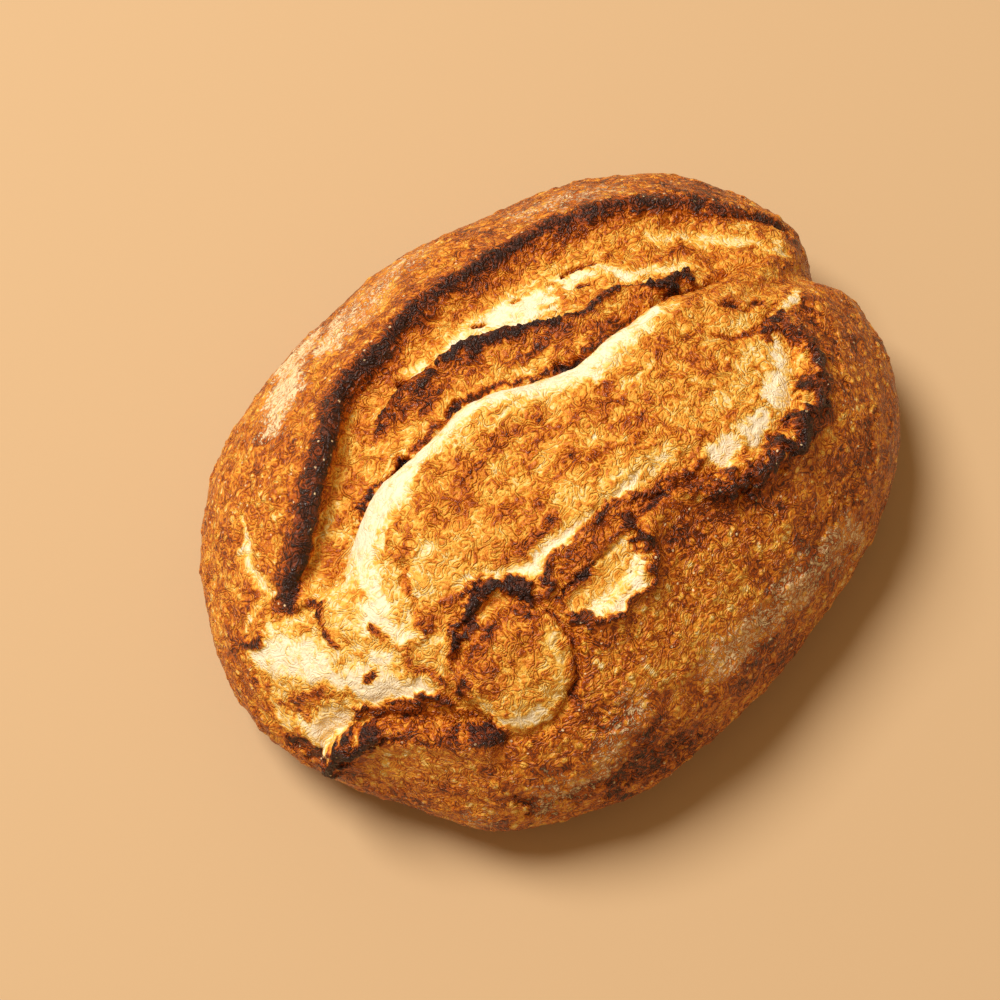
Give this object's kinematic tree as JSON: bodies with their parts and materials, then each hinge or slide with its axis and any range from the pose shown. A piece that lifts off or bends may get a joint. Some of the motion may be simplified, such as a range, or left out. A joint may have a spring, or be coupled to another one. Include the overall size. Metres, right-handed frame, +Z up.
{
  "type": "sourdough loaf",
  "caption": "Long hand-shaped country bread loaf with a flat base, a domed crust and one deep torn score along its far side.",
  "frame": {"origin": "middle of the loaf's outline, on the flat base", "axes": "+X along the loaf's length, +Y across it towards the side with the deep score, +Z up"},
  "size_m": [0.2586, 0.2012, 0.094],
  "materials": {
    "crust": "baked bread crust, golden to dark brown, softly glossy on its blisters, with pale dry crumb showing in the tears"
  },
  "bodies": {
    "root": {"loaf": "crust"}
  },
  "joints": []
}
